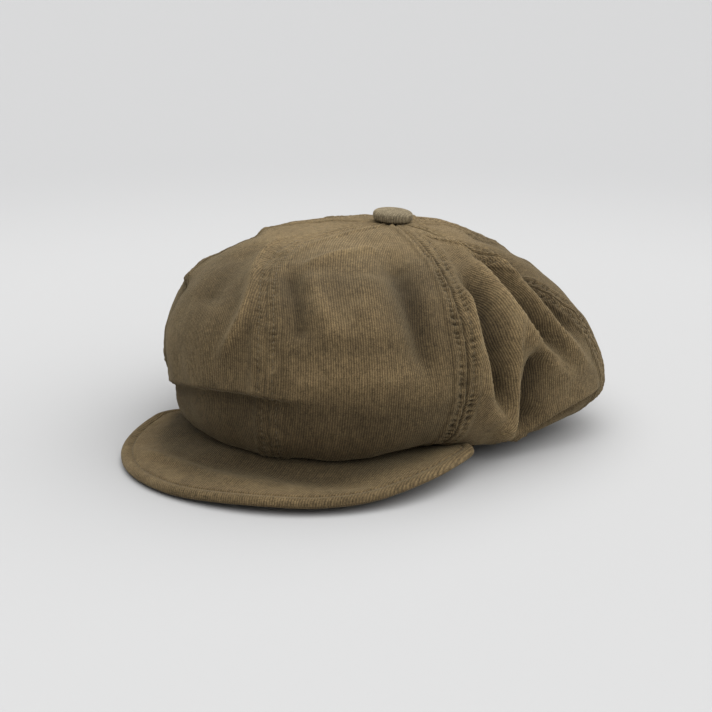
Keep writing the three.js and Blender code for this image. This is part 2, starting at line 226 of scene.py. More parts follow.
def fold_height(points, outward):
    """How far the folds move each point of the crown along its normal, and how far they leave it proud, which
    sets the painted light and shade.
    """
    total = np.zeros(len(points))
    proud = np.zeros(len(points))
    for kind, start, end, bow, height, left, right in FOLDS:
        uv = bowed(start, end, bow, FOLD_STEPS)
        path = crown_base(uv[:, 0], uv[:, 1])
        ahead = np.gradient(path, axis=0)
        reach = FOLD_REACH * max(left, right)
        near = np.all((points > path.min(0) - reach) & (points < path.max(0) + reach), axis=1)
        p = points[near]
        if not len(p):
            continue
        gap = p[:, None] - path[None]
        i = np.argmin((gap**2).sum(-1), axis=1)
        gap = gap[np.arange(len(p)), i]
        distance = np.linalg.norm(gap, axis=1)
        side = np.einsum("ij,ij->i", np.cross(outward[near], ahead[i]), gap)
        width = np.where(side > 0, left, right)
        share = i / (FOLD_STEPS - 1)
        ends = smooth(share / FOLD_ENDS) * smooth((1 - share) / FOLD_ENDS)
        if kind == "ridge":
            moved = height * ends * np.exp(-((distance / width) ** 1.7))
            proud[near] += moved
        else:
            rise = np.exp(-distance / left) * np.where(side > 0, 1.0, 0.0)
            sink = np.exp(-((distance / right) ** 1.5)) * np.where(side > 0, 0.0, 1.0)
            edge = smooth(distance / STEP_EDGE)
            moved = height * ends * (rise - sink) * edge
            proud[near] += STEP_SHADE_AND_WEAR * moved
        total[near] += moved
    return total, proud


def noise_at(points, size, seed):
    """Smooth noise from -1 to 1 at each point; size is its grain in millimetres."""
    shift = Vector((seed * 17.3, seed * -9.1, seed * 4.7))
    return np.array([noise.noise(Vector(p) / size + shift) for p in points])


# Seams: a groove, the doubled cloth beside it, and a row of topstitching that puckers it on each side.
SEAM_ALLOWANCE = 9.5
SEAM_RAISED = 1.0  # the doubled cloth
SEAM_STEP = 2.2  # width over which it falls to the single cloth
SEAM_GROOVE, SEAM_GROOVE_HALF = 1.2, 0.8
STITCH_ROW = 4.2  # distance of a row from its seam
STITCH_SUNK, STITCH_SUNK_HALF = 0.35, 0.7
STITCH_PITCH = 3.7
PUCKER, PUCKER_HALF = 1.1, 2.4
# How strongly each seam is drawn in; the front seam and the front right one are pressed flatter.
SEAM_STRENGTH = [0.5, 1.15, 0.9, 0.85, 0.85, 0.85, 0.8, 0.5]


def seam_height(distance, along, seam):
    """Height of the cloth at a distance from a seam, at a length along it."""
    doubled = SEAM_RAISED * (1 - smooth((distance - SEAM_ALLOWANCE + 1.5) / SEAM_STEP))
    groove = -SEAM_GROOVE * np.exp(-((distance / SEAM_GROOVE_HALF) ** 2))
    t = along / STITCH_PITCH + 0.22 * np.sin(along * 0.31 + seam) + 0.13 * np.sin(along * 0.83)
    dent = (0.5 + 0.5 * np.cos(2 * math.pi * (t + 0.25 * (distance - STITCH_ROW) / STITCH_ROW))) ** 1.6
    strength = PUCKER * (1 + 0.45 * np.sin(along * 0.19 + 2 * seam))
    pucker = -strength * dent * np.exp(-(np.abs((distance - STITCH_ROW) / PUCKER_HALF) ** 2.5))
    row = -STITCH_SUNK * np.exp(-(((distance - STITCH_ROW) / STITCH_SUNK_HALF) ** 2))
    return doubled + SEAM_STRENGTH[seam] * (groove + row + pucker)


V_SAMPLES = np.linspace(0.03, 1.999, 260)


def panel_measures(k):
    """Arc length down the panel's middle, and its width at each v."""
    middle = crown_base(np.full_like(V_SAMPLES, k + 0.5), V_SAMPLES)
    down = np.concatenate([[0], np.cumsum(np.linalg.norm(np.diff(middle, axis=0), axis=1))])
    us = np.linspace(k, k + 1, 17)
    rows = crown_base(us[:, None], V_SAMPLES[None])
    width = np.linalg.norm(np.diff(rows, axis=0), axis=2).sum(0)
    return down, width


MEASURES = [panel_measures(k) for k in range(8)]

# Unevenness of the cloth: (height, grain, seed). The last is the crumpling along the seams.
SLACK = [(1.6, 34.0, 1), (0.7, 13.0, 2)]
CRUMPLE = (0.75, 5.0, 3)
PANEL_LEVEL = 0.9  # seam height that counts as level with the panel


def crown_painted_shade_and_wear(u, v, folds, stitched, zone):
    """Painted light and shade with some wear, from -1 to 1, partly from how proud (+) or sunk (-) each point
    is: fold crests, the raised seam cloth and the top are painted lighter (crests and seams also worn); fold
    hollows, stitch puckers, the front below the top and the lower front over the visor are painted darker.
    """
    crests = np.clip(folds / 5, 0, 1) ** 1.5
    # painted highlight on fold crests and raised seam cloth, with their wear; painted shade in fold hollows
    # and stitch puckers
    relief = np.where(folds > 0, crests, folds / 8) + 0.7 * (stitched - PANEL_LEVEL) + 0.22 * zone
    front = smooth((u + 1.3) / 0.3) * smooth((1.15 - u) / 0.3) + smooth((u - 6.7) / 0.3)
    below_top = smooth((v - 0.36) / 0.1)
    # painted light on the top, painted shade below it
    relief = relief + 0.75 * smooth((0.36 - v) / 0.2) - 0.14 * below_top
    # painted shade on the front below the top
    relief = relief - 0.2 * front * below_top * smooth((0.95 - v) / 0.15)
    # painted shade on the lower front, over the visor
    relief = relief - 0.45 * front * smooth((v - 0.99) / 0.1)
    return np.clip(relief, -1, 1)


def crown_skin(u, v, with_relief=False):
    """The finished outer surface of the crown at (u, v) arrays of one shape, and its painted light and shade
    (the relief values) if asked.
    """
    shape = np.shape(u)
    u, v = np.ravel(u).astype(float), np.ravel(v).astype(float)
    base = crown_base(u, v)
    outward = normals(crown_base, u, v)
    lift, folds = fold_height(base, outward)
    near_band = smooth((2 - v) / 0.35)
    near_button = smooth(v / 0.12)
    for height, grain, seed in SLACK:
        lift = lift + height * noise_at(base, grain, seed) * near_button
    k = np.floor(u).astype(int)
    seam_gap = np.zeros(u.shape)
    stitched = np.full(u.shape, PANEL_LEVEL)
    for panel in sorted(set(k)):
        mine = k == panel
        down, width = MEASURES[panel % 8]
        w = np.interp(v[mine], V_SAMPLES, width)
        along = np.interp(v[mine], V_SAMPLES, down)
        share = u[mine] - panel
        fade = smooth((w - 5) / 22)
        seam_gap[mine] = np.minimum(share, 1 - share) * w
        left = seam_height(share * w, along, panel % 8)
        right = seam_height((1 - share) * w, along, (panel + 1) % 8)
        sewn = np.where(share < 0.5, left, right)
        lift[mine] += fade * sewn
        stitched[mine] = np.where(seam_gap[mine] < SEAM_ALLOWANCE, sewn, PANEL_LEVEL)
    zone = np.exp(-((seam_gap / 7.5) ** 4))
    height, grain, seed = CRUMPLE
    lift = lift + zone * height * noise_at(base, grain, seed) * smooth(v / 0.3)
    lift *= near_band
    skin = (base + outward * lift[:, None]).reshape(*shape, 3)
    if not with_relief:
        return skin
    return skin, crown_painted_shade_and_wear(u, v, folds, stitched, zone).reshape(shape)


# ---- Mesh building ----

def new_mesh(name, vertices, faces, uvs=None, material=None, relief=None):
    """An object from vertices in frame metres; uvs is one pair per vertex."""
    mesh = bpy.data.meshes.new(name)
    mesh.from_pydata([tuple(p) for p in vertices], [], faces)
    if uvs is not None:
        layer = mesh.uv_layers.new(name="UVMap")
        corner = np.zeros(len(mesh.loops), np.int32)
        mesh.loops.foreach_get("vertex_index", corner)
        layer.data.foreach_set("uv", np.asarray(uvs, np.float32)[corner].ravel())
    # relief: painted light and shade, with some wear, kept as a point attribute for the corduroy shader
    if relief is not None:
        values = np.ravel(relief).astype(np.float32)
        mesh.attributes.new("relief", "FLOAT", "POINT").data.foreach_set("value", values)
    mesh.shade_smooth()
    if material is not None:
        mesh.materials.append(material)
    obj = bpy.data.objects.new(name, mesh)
    bpy.context.scene.collection.objects.link(obj)
    return obj


def grid_faces(columns, rows, start=0, turned=False, wrap=False):
    faces = []
    for i in range(columns if wrap else columns - 1):
        here, there = start + i * rows, start + ((i + 1) % columns) * rows
        for j in range(rows - 1):
            quad = (here + j, there + j, there + j + 1, here + j + 1)
            faces.append(quad[::-1] if turned else quad)
    return faces


def sheet(name, outer, inner, uv, material, wrap=False, relief=None):
    """A closed sheet of cloth between two grids of points (columns, rows, 3)."""
    columns, rows = outer.shape[:2]
    n = columns * rows
    vertices = np.concatenate([place(outer).reshape(-1, 3), place(inner).reshape(-1, 3)])
    faces = grid_faces(columns, rows, 0, True, wrap) + grid_faces(columns, rows, n, False, wrap)

    def border(ids, turned):
        for a, b in zip(ids[:-1], ids[1:]):
            quad = (a, b, b + n, a + n)
            faces.append(quad[::-1] if turned else quad)

    top = [i * rows for i in range(columns)] + ([0] if wrap else [])
    bottom = [i * rows + rows - 1 for i in range(columns)] + ([rows - 1] if wrap else [])
    border(top, True)
    border(bottom, False)
    if not wrap:
        border(list(range(rows)), False)
        border([(columns - 1) * rows + j for j in range(rows)], True)
    uvs = np.concatenate([uv.reshape(-1, 2)] * 2)
    if relief is not None:
        relief = np.concatenate([np.ravel(relief)] * 2)
    return new_mesh(name, vertices, faces, uvs, material, relief)


# ---- Materials ----

class Nodes:
    """A small helper that wires a material's node tree."""

    def __init__(self, name):
        self.material = bpy.data.materials.new(name)
        self.material.use_nodes = True
        self.tree = self.material.node_tree
        self.shader = self.tree.nodes["Principled BSDF"]

    def add(self, kind, inputs=(), **settings):
        node = self.tree.nodes.new(kind)
        for key, value in settings.items():
            setattr(node, key, value)
        for key, value in dict(inputs).items():
            self.put(node.inputs[key], value)
        return node

    def put(self, socket, value):
        if hasattr(value, "links"):
            self.tree.links.new(value, socket)
        else:
            socket.default_value = value

    def math(self, operation, a, b=0.0, c=0.0):
        return self.add("ShaderNodeMath", {0: a, 1: b, 2: c}, operation=operation).outputs[0]

    def mix(self, factor, a, b, blend="MIX"):
        node = self.add("ShaderNodeMix", data_type="RGBA", blend_type=blend)
        self.put(node.inputs[0], factor)
        self.put(node.inputs[6], a)
        self.put(node.inputs[7], b)
        return node.outputs[2]

    def gray(self, value):
        return self.add("ShaderNodeCombineColor", {0: value, 1: value, 2: value}).outputs[0]

    def noise(self, vector, scale, detail=3.0, roughness=0.55):
        node = self.add(
            "ShaderNodeTexNoise", {"Vector": vector, "Scale": scale, "Detail": detail, "Roughness": roughness}
        )
        return node.outputs["Fac"]

    def scaled(self, vector, scale):
        return self.add("ShaderNodeMapping", {"Vector": vector, "Scale": scale}).outputs[0]

    def bump(self, height, distance, strength=1.0, normal=None):
        node = self.add("ShaderNodeBump", {"Height": height, "Distance": distance, "Strength": strength})
        if normal is not None:
            self.put(node.inputs["Normal"], normal)
        return node.outputs[0]


def shade(value):
    return (*value, 1.0)


CORD_RIDGE = (0.140, 0.099, 0.048)
# the groove colour is darker: painted shade between the wales
CORD_GROOVE = (0.069, 0.048, 0.025)
# lighter worn colour, laid on as wear in patches and as painted light where the relief attribute is high
CORD_WORN_AND_LIT = (0.175, 0.132, 0.071)


def corduroy(name, ridge=CORD_RIDGE, groove=CORD_GROOVE, worn_and_lit=CORD_WORN_AND_LIT, depth=0.0002):
    """Fine-wale cotton corduroy. The UV map counts wales across (U) and runs along them (V)."""
    n = Nodes(name)
    uv = n.add("ShaderNodeTexCoord").outputs["UV"]
    where = n.add("ShaderNodeTexCoord").outputs["Object"]
    wobble = n.math("MULTIPLY", n.math("SUBTRACT", n.noise(n.scaled(uv, (0.5, 0.25, 1)), 1.0, 2.0), 0.5), 0.7)
    across = n.math("ADD", n.add("ShaderNodeSeparateXYZ", {0: uv}).outputs[0], wobble)
    wave = n.math("MULTIPLY_ADD", n.math("SINE", n.math("MULTIPLY", across, 2 * math.pi)), 0.5, 0.5)
    streaks = n.noise(n.scaled(uv, (0.9, 0.035, 1)), 1.0, 3.0, 0.65)
    tufts = n.noise(n.scaled(uv, (1.4, 0.5, 1)), 1.0, 4.0, 0.7)
    patches = n.noise(where, 55.0, 4.0, 0.65)
    broad = n.noise(where, 13.0, 2.0, 0.5)
    rib = n.math("MULTIPLY", wave, n.math("MULTIPLY_ADD", tufts, 0.9, 0.5))
    flecks = n.noise(n.scaled(uv, (0.8, 0.16, 1)), 1.0, 3.0, 0.6)
    streaked = n.math("MULTIPLY_ADD", streaks, 0.8, -0.4)
    uneven = n.math("ADD", streaked, n.math("MULTIPLY_ADD", flecks, 0.8, -0.4))
    share = n.math("ADD", rib, uneven)
    # ridge colour on the wales, and the darker groove colour between them as painted shade
    color = n.mix(share, shade(groove), shade(ridge))
    # the relief attribute: painted light and shade, with some wear on crests and seams
    shade_and_wear = n.add("ShaderNodeAttribute", attribute_name="relief").outputs["Fac"]
    tone = n.math("MULTIPLY_ADD", patches, 0.5, n.math("MULTIPLY_ADD", broad, 0.5, 0.5))
    # painted light and shade: the cloth's colour is lightened where the relief attribute is high and darkened
    # where it is low
    tone = n.math("MULTIPLY", tone, n.math("MULTIPLY_ADD", shade_and_wear, 0.58, 1.0))
    color = n.mix(1.0, color, n.gray(tone), "MULTIPLY")
    grain = n.math("MULTIPLY", n.math("SUBTRACT", n.noise(where, 1500.0, 2.0, 0.6), 0.5), 2.2)
    mottle = n.math("MULTIPLY", n.math("SUBTRACT", n.noise(where, 360.0, 3.0, 0.6), 0.5), 1.25)
    speck = n.math("ADD", n.math("ADD", grain, mottle), 1.0)
    color = n.mix(1.0, color, n.gray(speck), "MULTIPLY")
    range_of = {0: patches, 1: 0.56, 2: 0.78}
    # lighter worn colour in random patches, more of it where the relief attribute is high: wear and painted
    # light
    wear_and_painted_light = n.add("ShaderNodeMapRange", range_of, interpolation_type="SMOOTHSTEP").outputs[0]
    wear_and_painted_light = n.math("MULTIPLY", wear_and_painted_light, n.math("MULTIPLY_ADD", shade_and_wear, 0.4, 0.4))
    color = n.mix(wear_and_painted_light, color, shade(worn_and_lit))
    n.put(n.shader.inputs["Base Color"], color)
    n.put(n.shader.inputs["Roughness"], n.math("MULTIPLY_ADD", tufts, 0.15, 0.82))
    fine = n.bump(n.noise(where, 2400.0, 3.0, 0.7), 0.00018)
    n.put(n.shader.inputs["Normal"], n.bump(rib, depth, 1.0, fine))
    n.shader.inputs["Specular IOR Level"].default_value = 0.15
    n.shader.inputs["Sheen Weight"].default_value = 0.22
    n.shader.inputs["Sheen Roughness"].default_value = 0.4
    n.shader.inputs["Sheen Tint"].default_value = shade((0.85, 0.70, 0.42))
    return n.material


def woven(name, light, dark, pitch=0.5, relief=0.00008, roughness=0.9):
    """Plain woven cloth; the UV map is in wales of WALE millimetres."""
    n = Nodes(name)
    uv = n.add("ShaderNodeTexCoord").outputs["UV"]
    where = n.add("ShaderNodeTexCoord").outputs["Object"]
    parts = n.add("ShaderNodeSeparateXYZ", {0: uv})
    turns = 2 * math.pi * WALE / pitch
    warp = n.math("SINE", n.math("MULTIPLY", parts.outputs[0], turns))
    weft = n.math("SINE", n.math("MULTIPLY", parts.outputs[1], turns))
    weave = n.math("MULTIPLY_ADD", n.math("MULTIPLY", warp, weft), 0.5, 0.5)
    patches = n.noise(where, 40.0, 4.0, 0.6)
    share = n.math("MULTIPLY_ADD", patches, 0.5, n.math("MULTIPLY", weave, 0.5))
    n.put(n.shader.inputs["Base Color"], n.mix(share, shade(dark), shade(light)))
    n.put(n.shader.inputs["Roughness"], n.math("MULTIPLY_ADD", patches, 0.12, roughness - 0.06))
    n.put(n.shader.inputs["Normal"], n.bump(weave, relief))
    n.shader.inputs["Specular IOR Level"].default_value = 0.2
    n.shader.inputs["Sheen Weight"].default_value = 0.15
    return n.material


def plain(name, light, dark, metallic=0.0, roughness=0.5, grain=300.0):
    """Moulded or stamped material with a fine grain."""
    n = Nodes(name)
    where = n.add("ShaderNodeTexCoord").outputs["Object"]
    fine = n.noise(where, grain, 4.0, 0.6)
    n.put(n.shader.inputs["Base Color"], n.mix(fine, shade(dark), shade(light)))
    n.put(n.shader.inputs["Roughness"], n.math("MULTIPLY_ADD", fine, 0.2, roughness - 0.1))
    n.put(n.shader.inputs["Normal"], n.bump(fine, 0.0001))
    n.shader.inputs["Metallic"].default_value = metallic
    return n.material


# the far colour is darker: painted shade away from the cap
FLOOR_NEAR = (0.455, 0.455, 0.455)
FLOOR_FAR = (0.405, 0.405, 0.407)


def floor_material():
    """Pale sweep with painted shade: a little darker far behind and in front of the cap."""
    n = Nodes("studio_floor")
    where = n.add("ShaderNodeTexCoord").outputs["Object"]
    away = n.add("ShaderNodeVectorMath", {0: where}, operation="LENGTH").outputs["Value"]
    # painted shade: darker with distance from the cap
    far = n.add("ShaderNodeMapRange", {0: away, 1: 0.45, 2: 0.95}, interpolation_type="SMOOTHSTEP").outputs[0]
    grain = n.math("MULTIPLY_ADD", n.noise(where, 1.2, 2.0), 0.02, n.math("MULTIPLY", far, 0.98))
    n.put(n.shader.inputs["Base Color"], n.mix(grain, shade(FLOOR_NEAR), shade(FLOOR_FAR)))
    n.shader.inputs["Roughness"].default_value = 0.85
    n.shader.inputs["Specular IOR Level"].default_value = 0.1
    return n.material


CORDUROY = corduroy("corduroy")
# a lighter copy of the corduroy for the button on top of the crown: painted light
LIT_BUTTON_CORDUROY = corduroy("button_corduroy_painted_light", (0.22, 0.18, 0.115), (0.15, 0.12, 0.075), (0.26, 0.215, 0.145))
THREAD = woven("thread", (0.15, 0.115, 0.062), (0.09, 0.067, 0.036), 0.4)
COTTON = woven("lining_cotton", (0.075, 0.058, 0.040), (0.040, 0.030, 0.021), 0.6)
TAPE = woven("sweatband_tape", (0.050, 0.042, 0.034), (0.020, 0.017, 0.014), 1.1, 0.0002, 0.75)
BUCKRAM = woven("buckram", (0.66, 0.60, 0.48), (0.40, 0.36, 0.28), 1.4, 0.0002)
SATIN = woven("label_satin", (0.62, 0.57, 0.46), (0.50, 0.45, 0.36), 0.3, 0.00005, 0.55)
BOARD = plain("visor_board", (0.74, 0.71, 0.64), (0.62, 0.59, 0.52))
METAL = plain("button_metal", (0.62, 0.62, 0.60), (0.50, 0.50, 0.49), 1.0, 0.38, 700.0)


# ---- Crown panels ----

PANEL_COLUMNS, PANEL_ROWS = 65, 300
EDGE_CROWDING = 0.72  # how much the columns crowd towards the seams


def panel_columns(count):
    s = np.linspace(0, 1, count)
    return s - EDGE_CROWDING * np.sin(2 * math.pi * s) / (2 * math.pi)


def start_row(u, radius):
    """v at which the cloth is a given distance from the apex."""
    low, high = np.zeros_like(u), np.full_like(u, 0.5)
    for _ in range(24):
        v = (low + high) / 2
        far = np.linalg.norm(crown_base(u, v)[..., :2] - APEX[:2], axis=-1) > radius
        low, high = np.where(far, low, v), np.where(far, v, high)
    return high


def panel_grid(k, columns, rows, first_radius, last):
    u = k + panel_columns(columns)
    first = start_row(u, first_radius)
    t = np.linspace(0, 1, rows) ** 1.12
    v = first[:, None] + (last - first[:, None]) * t[None]
    return np.broadcast_to(u[:, None], v.shape).copy(), v


def wale_uv(u, v, k):
    """Wales across from the panel's middle, and length along it, both in wales."""
    down, width = MEASURES[k]
    w = np.interp(v, V_SAMPLES, width)
    return np.stack([(u - k - 0.5) * w / WALE + 40 * k, np.interp(v, V_SAMPLES, down) / WALE], -1)


FOLD_SHARE = 0.65  # how much of a fold's extra length the wales make room for
EVEN_ROWS = 17


def folded_uv(u, v, k, grid):
    """wale_uv with the wales spread over the folds of the finished surface."""
    uv = wale_uv(u, v, k)
    across = np.zeros(v.shape)
    across[1:] = np.cumsum(np.linalg.norm(np.diff(grid, axis=0), axis=2), axis=0)
    across -= across[len(u) // 2]
    padded = np.pad(across, ((0, 0), (EVEN_ROWS // 2, EVEN_ROWS // 2)), mode="edge")
    even = np.mean([padded[:, i:i + v.shape[1]] for i in range(EVEN_ROWS)], axis=0)
    uv[..., 0] = mix(uv[..., 0], even / WALE + 40 * k, FOLD_SHARE)
    return uv


def surface_normals(grid):
    du = np.gradient(grid, axis=0)
    dv = np.gradient(grid, axis=1)
    n = np.cross(dv, du)
    return n / np.maximum(np.linalg.norm(n, axis=-1, keepdims=True), 1e-9)


# The lower front of the crown is kept out of the cap body, as the visor is.
FLEXING = ("front_left", "front_right", "side_left_front", "side_right_front")


def crown_rides(piece, place_name):
    if place_name in FLEXING:
        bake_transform(piece)
    else:
        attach(piece, "cap")


def make_crown():
    for k, name in enumerate(PANELS):
        u, v = panel_grid(k, PANEL_COLUMNS, PANEL_ROWS, 3.5, 1.998)
        inside = np.clip(u, k + 1e-4, k + 1 - 1e-4)
        outer, relief = crown_skin(inside, v, with_relief=True)
        inner = outer - surface_normals(outer) * CLOTH
        piece = sheet("crown_cloth_" + name, outer, inner, folded_uv(u, v, k, outer), CORDUROY, relief=relief)
        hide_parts("crown_" + name)
        crown_rides(piece, name)


# ---- Stitches ----

STITCH_SIDES = 6


def stitch_row(points, outward, length, gap, radius):
    """Vertices and faces of short thread capsules along a line of points."""
    step = np.linalg.norm(np.diff(points, axis=0), axis=1)
    travel = np.concatenate([[0], np.cumsum(step)])
    vertices, faces = [], []
    starts = np.arange(gap, travel[-1] - length, length + gap)
    for s in starts:
        samples = s + length * np.array([0.0, 0.18, 0.5, 0.82, 1.0])
        at = np.stack([np.interp(samples, travel, points[:, c]) for c in range(3)], 1)
        up = np.stack([np.interp(samples, travel, outward[:, c]) for c in range(3)], 1)
        up /= np.linalg.norm(up, axis=1, keepdims=True)
        along = at[-1] - at[0]
        along /= np.linalg.norm(along)
        across = np.cross(up, along)
        across /= np.linalg.norm(across, axis=1, keepdims=True)
        sizes = radius * np.array([0.25, 0.85, 1.0, 0.85, 0.25])
        lifts = radius * np.array([-1.2, 0.1, 0.45, 0.1, -1.2])
        first = len(vertices)
        for i in range(5):
            centre = at[i] + up[i] * lifts[i]
            for q in range(STITCH_SIDES):
                a = 2 * math.pi * q / STITCH_SIDES
                vertices.append(centre + sizes[i] * (math.cos(a) * across[i] + math.sin(a) * up[i]))
        for i in range(4):
            for q in range(STITCH_SIDES):
                r = (q + 1) % STITCH_SIDES
                a, b = first + i * STITCH_SIDES, first + (i + 1) * STITCH_SIDES
                faces.append((a + q, a + r, b + r, b + q))
        faces.append(tuple(first + q for q in range(STITCH_SIDES))[::-1])
        faces.append(tuple(first + 4 * STITCH_SIDES + q for q in range(STITCH_SIDES)))
    return vertices, faces


def stitch_piece(name, rows, radius=0.26, length=2.5, gap=1.2):
    """One object with the stitches of several lines; each line is (points, outward)."""
    vertices, faces = [], []
    for points, outward in rows:
        more, more_faces = stitch_row(points, outward, length, gap, radius)
        offset = len(vertices)
        vertices += more
        faces += [tuple(i + offset for i in f) for f in more_faces]
    vertices = place(np.array(vertices))
    uvs = vertices[:, :2] / MM / WALE
    piece = new_mesh(name, vertices, faces, uvs, THREAD)
    return piece


SEAM_NAMES = [
    "front", "front_left", "left", "rear_left", "rear", "rear_right", "right", "front_right",
]


def make_crown_stitches():
    v = np.linspace(0.16, 1.62, 420)
    for k, name in enumerate(SEAM_NAMES):
        rows = []
        for panel, sign in ((k, 1), ((k - 1) % 8, -1)):
            _, width = MEASURES[panel]
            w = np.interp(v, V_SAMPLES, width)
            u = k + sign * np.minimum(STITCH_ROW / w, 0.4)
            rows.append((crown_skin(u, v), normals(crown_base, u, v)))
        piece = stitch_piece("crown_topstitch_" + name, rows)
        if name in ("front", "front_left", "front_right"):
            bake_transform(piece)
        else:
            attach(piece, "cap")


# ---- Lining ----

LINING_FOOT = BAND_TOP + 2.6
LINING_INSET = 3.0
LINING_TURN = 0.93


def lining_dome(u, v):
    """The crown's shape with its deep folds, a little way inside it."""
    base = crown_base(u, v)
    outward = normals(crown_base, u, v)
    fold = fold_height(base.reshape(-1, 3), outward.reshape(-1, 3))[0].reshape(v.shape)
    return base + outward * (np.minimum(fold, 0) - LINING_DROP)[..., None]


def lining_surface(u, v):
    """The lining follows the dome, then cuts straight back to the top of the sweatband."""
    dome = lining_dome(u, np.minimum(v, 1) * LINING_TURN)
    edge = oval(45 * u, LINING_INSET)
    to = np.concatenate([edge, np.full((*edge.shape[:-1], 1), LINING_FOOT)], -1)
    knee = np.concatenate([mix(dome[..., :2], to[..., :2], 0.1), mix(dome[..., 2:], to[..., 2:], 0.6)], -1)
    t = np.clip(v - 1, 0, 1)[..., None]
    back = dome * (1 - t) ** 2 + 2 * knee * t * (1 - t) + to * t**2
    return np.where((v <= 1)[..., None], dome, back)


def make_lining():
    for k, name in enumerate(PANELS):
        u, v = panel_grid(k, 33, 61, 6.0, 2.0)
        base = lining_surface(u, v)
        flat = base.reshape(-1, 3)
        crease = 0.9 * noise_at(flat, 22.0, 5) + 0.5 * noise_at(flat * [1, 1, 0.4], 8.0, 6)
        pinned = smooth((2 - v) / 0.2) * smooth((v - 0.05) / 0.1)
        seam = -0.5 * np.exp(-((np.minimum(u - k, k + 1 - u) / 0.02) ** 2))
        n = surface_normals(base)
        outer = base + n * ((crease.reshape(v.shape) - 0.6) * pinned + seam)[..., None]
        inner = outer - n * 0.6
        piece = sheet("lining_cloth_" + name, outer, inner, wale_uv(u, np.minimum(v, 1.99), k), COTTON)
        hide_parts("lining_" + name)
        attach(piece, "cap")


# ---- Headband ----

BAND_STEPS = 240
BAND_ROUND = 575.0  # about the sweatband's length; it scales the UV map of both bands


def band_foot(y):
    return BAND_LIFT * smooth((-y - BAND_LIFT_FROM) / (BAND_LIFT_TO - BAND_LIFT_FROM))


def band_ring(name, node, inset, thickness, foot, top, material):
    """A ring of cloth round the head oval with rounded edges."""
    degrees = np.arange(BAND_STEPS) * 360 / BAND_STEPS
    half = thickness / 2
    middle = inset + half
    quarter = np.linspace(0, math.pi / 2, 4)
    low = band_foot(oval(degrees, inset)[:, 1]) + foot
    outer, inner = [], []
    for angle, base in zip(degrees, low):
        for side, way in ((outer, -1), (inner, 1)):
            section = [(middle + way * half * math.sin(a), top - half + half * math.cos(a)) for a in quarter]
            section += [(middle + way * half, h) for h in np.linspace(top - half, base + half, 14)[1:-1]]
            foot_z = base + half
            section += [(middle + way * half * math.cos(a), foot_z - half * math.sin(a)) for a in quarter]
            side.append([[*oval(angle, i), h] for i, h in section])
    outer, inner = np.array(outer), np.array(inner)
    lengths = np.arange(BAND_STEPS) * BAND_ROUND / BAND_STEPS / WALE
    uv = np.stack(np.broadcast_arrays(lengths[:, None], outer[..., 2] / WALE), -1)
    piece = sheet(name, outer, inner, uv, material, wrap=True)
    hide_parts(node)
    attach(piece, "cap")


def make_band():
    band_ring("headband_cloth", "headband_outer", 0.0, 1.4, 0.0, BAND_TOP, CORDUROY)
    band_ring("sweatband_tape", "sweatband", 2.8, 1.0, 1.0, BAND_TOP + 2, TAPE)
    degrees = np.linspace(0, 360, 721)
    inside = oval(degrees, 3.8)
    rows = []
    for height in (3.2, BAND_TOP - 0.5):
        z = band_foot(inside[:, 1]) * (1 if height < 10 else 0) + height
        points = np.concatenate([inside, z[:, None]], 1)
        rows.append((points, np.concatenate([-plan(degrees), np.zeros((721, 1))], 1)))
    piece = stitch_piece("sweatband_stitches", rows, 0.28, 2.4, 1.2)
    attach(piece, "cap")


# ---- Visor ----

VISOR = dict(
    half_width=98.0, tip=-156.5, depth=99.5, horn_depth=22.0, horn_turn=125.0, roundness=2.15,
    inner=11.0, band_gap=1.5,
)
# Height of the visor's edge above the surface, as in the frame: low at the tip, both sides rising.
EDGE = dict(low=3.6, right_rise=3.9, left_rise=10.0, left_tuck=3.0, wave=3.0, wave_at=0.1, wave_half=0.18)
ROLL_OUT = 3.45  # middle of the rolled edge, out from the board
BOARD_HALF = 1.1
COVER_TOP = 2.7
COVER = 1.2  # thickness of the visor's cloth
# Soft dents of the whole visor: (height, x, y, half size along x and y, lean of its line)
VISOR_DENTS = [
    (-3.0, 10, -124, 62, 11, 0),
    (-2.0, -62, -92, 26, 22, 0),
    (2.2, -50, -123.75, 38, 4.5, 0.35),
    (-2.0, 55, -118, 18, 12, 0),
]
VISOR_SLACK = [(1.0, 26.0, 11), (0.4, 11.0, 12)]  # height, grain, seed


def visor_rim(q):
    a = np.radians(q * VISOR["horn_turn"])
    power = 2 / VISOR["roundness"]
    s, c = np.sin(a), np.cos(a)
    depth = np.where(c > 0, VISOR["depth"], VISOR["horn_depth"])
    x = VISOR["half_width"] * np.sign(s) * np.abs(s) ** power
    y = VISOR["tip"] + VISOR["depth"] - depth * np.sign(c) * np.abs(c) ** power
    return np.stack([x, y], -1)


def rim_outward(q, step=1e-3):
    d = visor_rim(q + step) - visor_rim(q - step)
    n = np.stack([d[..., 1], -d[..., 0]], -1)
    return n / np.linalg.norm(n, axis=-1, keepdims=True)


def rim_height(q):
    """Height of the edge's middle at q, from the wearer's right horn (-1) to the left one (1)."""
    right = EDGE["right_rise"] * smooth((-0.5 - q) / 0.5)
    left = EDGE["left_rise"] * smooth((q - 0.1) / 0.6) - EDGE["left_tuck"] * smooth((q - 0.8) / 0.2)
    wave = EDGE["wave"] * np.exp(-(((q - EDGE["wave_at"]) / EDGE["wave_half"]) ** 2))
    return EDGE["low"] + right + left + wave


HORN_END = visor_rim(np.array(1.0))
HORN_FACING = math.degrees(math.atan2(HORN_END[0], -HORN_END[1]))


